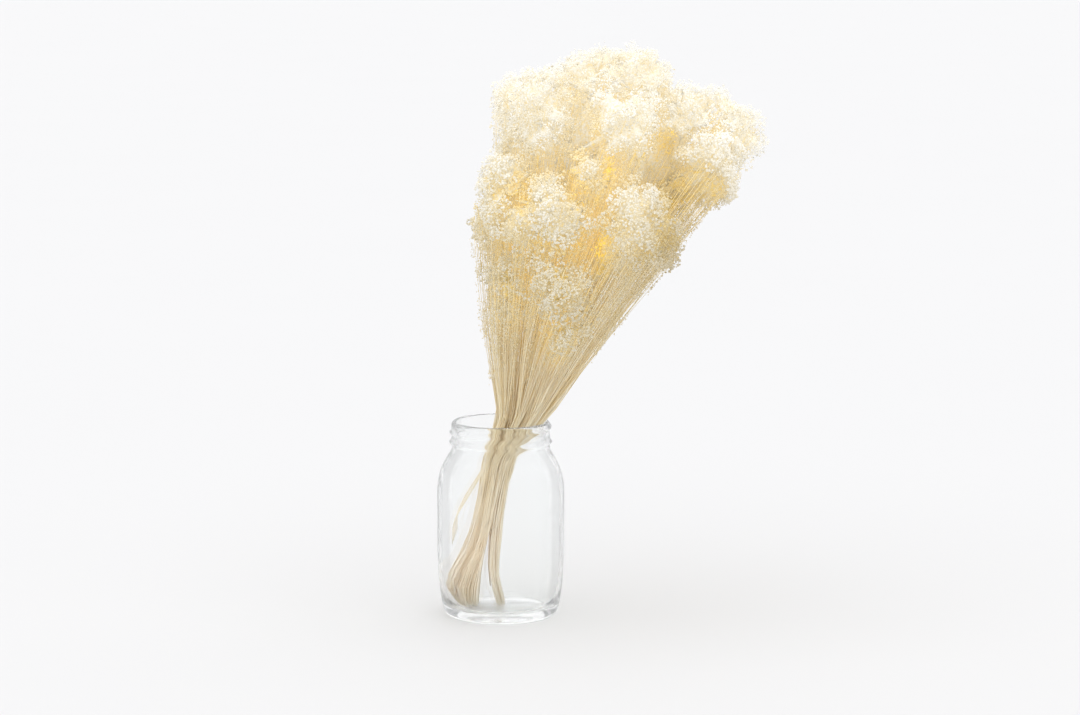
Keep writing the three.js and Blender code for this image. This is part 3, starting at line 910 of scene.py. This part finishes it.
def stem_paths(heads, number, count, random):
    """A spray's stems (n, m, 3). Their tips are spread evenly in the head. Each follows the spray's line
    through the bundle, as far beside it as its tip is beside the head's middle, and goes on almost straight
    to its tip."""
    line = bundle_line(number)
    radius = heads.radius[number]
    # The tips: x and y across the head and rise out of it, as shares of its radius
    turn = golden_turns(count) + random.uniform(0, 6.28)
    aside = ((np.arange(count) + 0.5) / count) ** 0.42
    x = aside * np.cos(turn)
    y = aside * np.sin(turn)
    tips = heads.across[number] * x[:, None] + heads.behind[number] * y[:, None]
    rise = np.sqrt(1 - 0.8 * aside**2) * random.uniform(-0.1, 0.8, count)
    tips = heads.centre[number] + 0.8 * radius * tips + heads.out[number] * (radius * rise)[:, None]
    beside = np.stack([x, y, 0 * x], 1)
    # Up to the rim the stems are spread round the spray's line, and below the neck drawn into their groups
    low = line + SPREADS[:, None] * beside[:, None]
    low = low + random.normal(0, 0.0004, low.shape) * (1, 1, 0)
    even = 1000 * low[:, 0, 0]
    low[:, 0, 0] = np.interp(even, *FEET.T) / 1000
    low[:, 1, 0] = np.interp(even, *KNEES.T) / 1000
    parting = PARTING[1] / 1000
    beside = np.maximum(low[:, 2, 0], parting), np.minimum(low[:, 2, 0], parting - 0.001)
    low[:, 2, 0] = np.where(even > PARTING[0], *beside)
    apart = np.hypot(low[:, :3, 0], low[:, :3, 1])
    wall = inner_radius(low[:, :3, 2]) - WALL_GAP
    low[:, :3, :2] *= np.minimum(1, wall / apart)[:, :, None]
    if number == STRAY_SPRAY:
        offsets = STRAY_GAP * np.arange(STRAY_COUNT)[:, None, None] * (1, 1, 3)
        low[:STRAY_COUNT, :4] = STRAY / 1000 + offsets
    # Half way from the rim to its tip, each bends a little inwards and to the left
    middle = 0.5 * (low[:, -1] + tips)
    away = unit(middle - FAN_MIDDLE - middle * (0, 0, 1))
    middle = middle - 0.001 * away - (0.002, 0, 0) + random.normal(0, 0.0012, middle.shape)
    points = np.concatenate([low, middle[:, None], tips[:, None]], 1)
    paths = smooth_curve(points, PATH_POINTS)
    lift = np.where(random.random(count) < 0.6, 0.003 * random.random(count), 0.03 * random.random(count))
    return trim_feet(paths, JAR_FLOOR + 0.0005 + lift)


def trim_feet(paths, lowest):
    """Paths from a lowest height, or from where they first clear the jar's wall, at as many even steps."""
    length = paths.shape[1]
    fine_length = 600
    fine_at = np.linspace(0, length - 1, fine_length)
    result = np.empty_like(paths)
    for number, path in enumerate(paths):
        fine = np.stack([np.interp(fine_at, np.arange(length), path[:, k]) for k in range(3)], 1)
        apart = np.hypot(fine[:, 0], fine[:, 1])
        clear = (apart < inner_radius(fine[:, 2]) - 0.0009) | (fine[:, 2] > JAR_RIM)
        first = int(np.argmax(clear & (fine[:, 2] >= lowest[number])))
        at = np.linspace(first, fine_length - 1, length)
        result[number] = np.stack([np.interp(at, np.arange(fine_length), fine[:, k]) for k in range(3)], 1)
    return result


class BROOM_OT_flowers(bpy.types.Operator):
    """Makes each spray's flower head: forks to tufts, and in each tuft twigs with a bud on every tip"""

    bl_idname = "broom.flowers"
    bl_label = "Flower heads"

    def execute(self, context):
        settings = context.scene.broom.bloom
        count = context.scene.broom.stems.count
        finish = bud_finish(settings)
        heads = Heads()
        owners, tufts = place_tufts(heads, settings.tuft_gap)
        for number in range(len(SPRAYS)):
            random = np.random.default_rng(STEM_SEED + number)
            paths = stem_paths(heads, number, count, random)
            random = np.random.default_rng(FLOWER_SEED + number)
            shape = Shape()
            thin = SPRAYS[number, 2] < THIN_REACH
            faces = tufts[owners == number]
            if thin:
                faces = faces[random.random(len(faces)) < THIN_SHARE]
            add_core(shape, heads, number, THIN_CORE if thin else FULL_CORE, random)
            uneven = random.normal(0, 0.25, faces.shape)
            outward = unit(heads.outward(faces) + 0.35 * heads.out[number] + uneven)
            sizes = settings.tuft_radius * random.uniform(*TUFT_SIZES, len(faces))
            sink = random.normal(*TUFT_SINK, len(faces))
            if thin:
                sink += random.uniform(0, THIN_SINK, len(faces))
            centres = faces - outward * (0.75 * sizes + sink)[:, None]
            low, low_outward = flank_tufts(heads, number, paths, random)
            low_sizes = settings.tuft_radius * random.uniform(*SPRINKLE_SIZES, len(low))
            centres = np.concatenate([centres, low])
            outward = np.concatenate([outward, low_outward])
            sizes = np.concatenate([sizes, low_sizes])
            add_forks(shape, heads, paths, centres - outward * sizes[:, None] * 0.6, random)
            add_tufts(shape, heads, centres, outward, sizes, len(faces), number, settings, random)
            piece = shape.piece(f"flowers_{number + 1:02d}", finish)
            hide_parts(node_name(number, "bloom"))
            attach(piece, "root")
        return {"FINISHED"}


def place_tufts(heads, gap):
    """Points over the whole bunch's surface, at least a gap apart, and each one's head: a choice of the
    points where rays from every head's middle meet the surface."""
    random = np.random.default_rng(TUFT_SEED)
    found, owners = [], []
    for number in range(len(SPRAYS)):
        directions = even_directions(RAYS)
        distance, free = heads.surface(number, directions)
        found.append(heads.centre[number] + directions[free] * distance[free, None])
        owners.append(np.full(free.sum(), number))
    found, owners = np.concatenate(found), np.concatenate(owners)
    order = random.permutation(len(found))
    found, owners = found[order], owners[order]
    kept = spread(found, gap)
    kept = kept[heads.hollow(found[kept], 1.2).max(-1) < OPEN_HOLLOW]
    return owners[kept], found[kept]


def spread(points, gap):
    """The numbers of points that are at least a gap apart. In each round every point with none before it
    within the gap is kept, and all others within the gap of it are dropped."""
    left, kept = np.arange(len(points)), []
    while len(left):
        here = points[left]
        squared = (here**2).sum(1)
        close = [
            squared[k : k + 800, None] + squared - 2 * here[k : k + 800] @ here.T < gap * gap
            for k in range(0, len(left), 800)
        ]
        close = np.concatenate(close)
        first = ~np.tril(close, -1).any(1)
        kept.append(left[first])
        left = left[~close[:, first].any(1)]
    return np.concatenate(kept)


def add_core(shape, heads, number, share, random):
    """The florets inside a head, packed too close to tell apart: a globe on a grid of turn and height whose
    radius is a share of the way to the surface, with every point raised or lowered to make one floret."""
    rows, columns = 36, 60
    height = np.cos(np.linspace(0, math.pi, rows + 2)[1:-1])[:, None]
    turn = TURN * np.arange(columns) / columns + math.pi / columns * (np.arange(rows)[:, None] % 2)
    ring = np.sqrt(1 - height**2)
    out, first, second = heads.out[number], heads.across[number], heads.behind[number]
    directions = (ring * np.cos(turn))[..., None] * first + (ring * np.sin(turn))[..., None] * second
    directions = (directions + (height + 0 * turn)[..., None] * out).reshape(-1, 3)
    directions = np.concatenate([directions, out[None], -out[None]])
    distance, free = heads.surface(number, directions)
    raised = random.uniform(-1, 1, len(directions))
    sink, least, relief = 0.0062, 0.002, 0.0017
    distance = np.maximum(distance * np.where(free, share, 0.8 * share) - sink, least) + relief * raised
    points = heads.centre[number] + directions * distance[:, None]
    low = heads.low(points)
    # Painted shade: deeper, lower, low-head and hollow points get yellower colours, raised ones paler
    depth = 0.12 + 0.3 * heads.sunk(points) + 0.8 * heads.golden(points) - 0.08 * raised + 0.24 * low
    depth = np.clip(depth, 0, 1)
    start = shape.count
    walls = ring_walls(rows, columns, flip=True)
    shape.add(points, walls, random.random(len(points)), depth, 1.0)
    top = rows * columns
    shape.faces.append(ring_cap(0, columns, top) + start)
    shape.faces.append(ring_cap(top - columns, columns, top + 1, flip=True) + start)


def flank_tufts(heads, number, paths, random):
    """Sprinkles along a spray's outer stems below its head, fewer the lower, and the ways they face: away
    from the middle of the bunch."""
    count = int(SPRINKLES * heads.radius[number] / SPRINKLE_HEAD)
    slope = np.array((math.tan(math.radians(FAN_LEAN)), 0, 1))
    spots = paths[:, OUTER_AT]
    apart = np.linalg.norm(spots - FAN_POINT - slope * (spots[:, 2:] - FAN_POINT[2]), axis=1)
    outer = np.argsort(apart)[len(paths) // 2 :]
    stem = random.choice(outer, count)
    share = 1 - 0.55 * random.random(count)
    spot = share * (paths.shape[1] - 1)
    step = np.minimum(spot.astype(int), paths.shape[1] - 2)
    part = (spot - step)[:, None]
    places = paths[stem, step] * (1 - part) + paths[stem, step + 1] * part
    away = unit(places - FAN_POINT - slope * (places[:, 2:] - FAN_POINT[2]))
    facing = unit(away + 0.9 * heads.out[number] + random.normal(0, 0.3, places.shape))
    places = places + facing * random.uniform(0, 0.0025, (count, 1))
    keep = places[:, 2] > random.uniform(*VEIL_LEVELS, count)
    return places[keep], facing[keep]


def add_forks(shape, heads, paths, roots, random):
    """Forks, one from the nearest stem below to each tuft's root."""
    joints = paths[:, FORKS_FROM:].reshape(-1, 3)
    ways = unit(np.gradient(paths, axis=1))[:, FORKS_FROM:].reshape(-1, 3)
    apart = roots[:, None] - joints[None]
    below = np.sum(apart * ways[None], -1)
    cost = np.linalg.norm(apart, axis=2) + np.where(below < FORK_RISE, 0.05, 0)
    # Forks deeper in a head get more painted golden shade
    depth = 0.15 + 0.5 * smooth_step(-0.3, 0.5, heads.sunk(roots))
    add_twigs(shape, joints[cost.argmin(1)], roots, FORK_RADIUS, random.random(len(roots)), depth)


def add_tufts(shape, heads, centres, outward, sizes, full, number, settings, random):
    """Buds over the outer side of each tuft, some with the twig that shows under them. A bud's place is the
    tuft's middle plus its radius times a random direction that favours the way the tuft faces. Past the
    first full ones, tufts are sprinkles of tiny buds, drawn out along the stems."""
    sprinkle = np.arange(len(centres)) >= full
    buds = settings.buds * (CROWN_BUDS if number < CROWN_COUNT else 1.0)
    fewest, in_sprinkle = 6, 16
    buds = np.maximum(fewest, buds * (sizes / settings.tuft_radius) ** 2)
    each = np.where(sprinkle, in_sprinkle, buds).astype(int)
    tuft = np.repeat(np.arange(len(centres)), each)
    total = len(tuft)
    tiny = sprinkle[tuft]
    along = 1 - 1.15 * random.random(total)
    turn = random.uniform(0, TURN, total)
    first, second = square_to(outward, unit(random.normal(size=outward.shape)))
    aside = np.sqrt(1 - along**2)[:, None]
    direction = outward[tuft] * along[:, None] + aside * (
        first[tuft] * np.cos(turn)[:, None] + second[tuft] * np.sin(turn)[:, None]
    )
    reach = random.uniform(0.5, 1.0, total) ** 0.7
    stray = random.random(total) < STRAY_BUDS
    reach = np.where(stray, reach * random.uniform(1.1, 1.45, total), reach)
    places = centres[tuft] + direction * (sizes[tuft] * reach)[:, None]
    drawn_out = random.uniform(-SPRINKLE_STRETCH, SPRINKLE_STRETCH, total)
    places = places + heads.out[number] * np.where(tiny, drawn_out, 0)[:, None]
    radii = settings.bud_radius * random.uniform(0.7, 1.2, total) * (1.35 - 0.4 * along)
    in_crown, on_flanks, in_sprinkles = BUD_SCALES
    radii = radii * np.where(tiny, in_sprinkles, in_crown if number < CROWN_COUNT else on_flanks)
    # How deep each bud lies, which sets its painted shade and its painted glow
    sunk = np.clip(heads.sunk(places), 0, 1)
    shut = heads.shut(centres, outward)[tuft]
    low = heads.low(places)
    golden = heads.golden(centres)[tuft]
    thin = SPRAYS[number, 2] < THIN_REACH
    by_sunk, by_shut = (0.12, 0.1) if thin else (0.22, 0.34)
    depth = by_sunk * sunk + by_shut * shut + 0.05 * (1 - along) + 0.28 * low
    depth = np.where(tiny, 0.5, depth) + 0.9 * golden
    depth = np.clip(depth, 0, 1)
    tone = 0.6 * random.random(total) + 0.4 * random.random(len(centres))[tuft]
    hints = unit(random.normal(size=direction.shape))
    lean = 0.6 * unit(outward[tuft] + 0.5 * direction)
    sides = 3 if number < CROWN_COUNT else 4
    k = ~tiny
    add_buds(shape, places[k], direction[k], radii[k], hints[k], sides, tone[k], depth[k], lean[k])
    k = tiny
    half = direction[k] * radii[k, None]
    add_twigs(shape, places[k] - half, places[k] + half, radii[k], tone[k], depth[k], lean[k])
    shown = stray | (random.random(total) < 0.2)
    roots = centres[tuft] - outward[tuft] * (0.5 * sizes[tuft])[:, None]
    roots = roots + direction * (0.3 * sizes[tuft])[:, None]
    # The twigs under the buds get more painted shade than their buds
    depth = np.clip(depth + 0.2, 0, 1)
    add_twigs(shape, roots[shown], places[shown], TWIG_RADIUS, tone[shown], depth[shown])


class BROOM_PT_panel(bpy.types.Panel):
    bl_idname = "BROOM_PT_panel"
    bl_label = "Broom bloom in a jar"
    bl_space_type = "VIEW_3D"
    bl_region_type = "UI"
    bl_category = "Broom bloom"

    def draw(self, context):
        settings = context.scene.broom
        for group, operator in (
            (settings.stage, BROOM_OT_stage),
            (settings.jar, BROOM_OT_jar),
            (settings.stems, BROOM_OT_stems),
            (settings.bloom, BROOM_OT_flowers),
        ):
            box = self.layout.box()
            for name in group.__annotations__:
                box.prop(group, name)
            box.operator(operator.bl_idname)


CLASSES = (
    *(JarSettings, StemSettings, BloomSettings, StageSettings, BroomSettings),
    *(BROOM_OT_stage, BROOM_OT_jar, BROOM_OT_stems, BROOM_OT_flowers, BROOM_PT_panel),
)


def register():
    for each in CLASSES:
        bpy.utils.register_class(each)
    bpy.types.Scene.broom = bpy.props.PointerProperty(type=BroomSettings)


def unregister():
    del bpy.types.Scene.broom
    for each in reversed(CLASSES):
        bpy.utils.unregister_class(each)


def main():
    register()
    bpy.ops.broom.stage()
    bpy.ops.broom.jar()
    bpy.ops.broom.stems()
    bpy.ops.broom.flowers()
    boxes = {"solids": solid_box, "dressed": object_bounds()}
    boxes = {name: [[float(v) for v in corner] for corner in box] for name, box in boxes.items()}


if __name__ == "__main__":
    main()
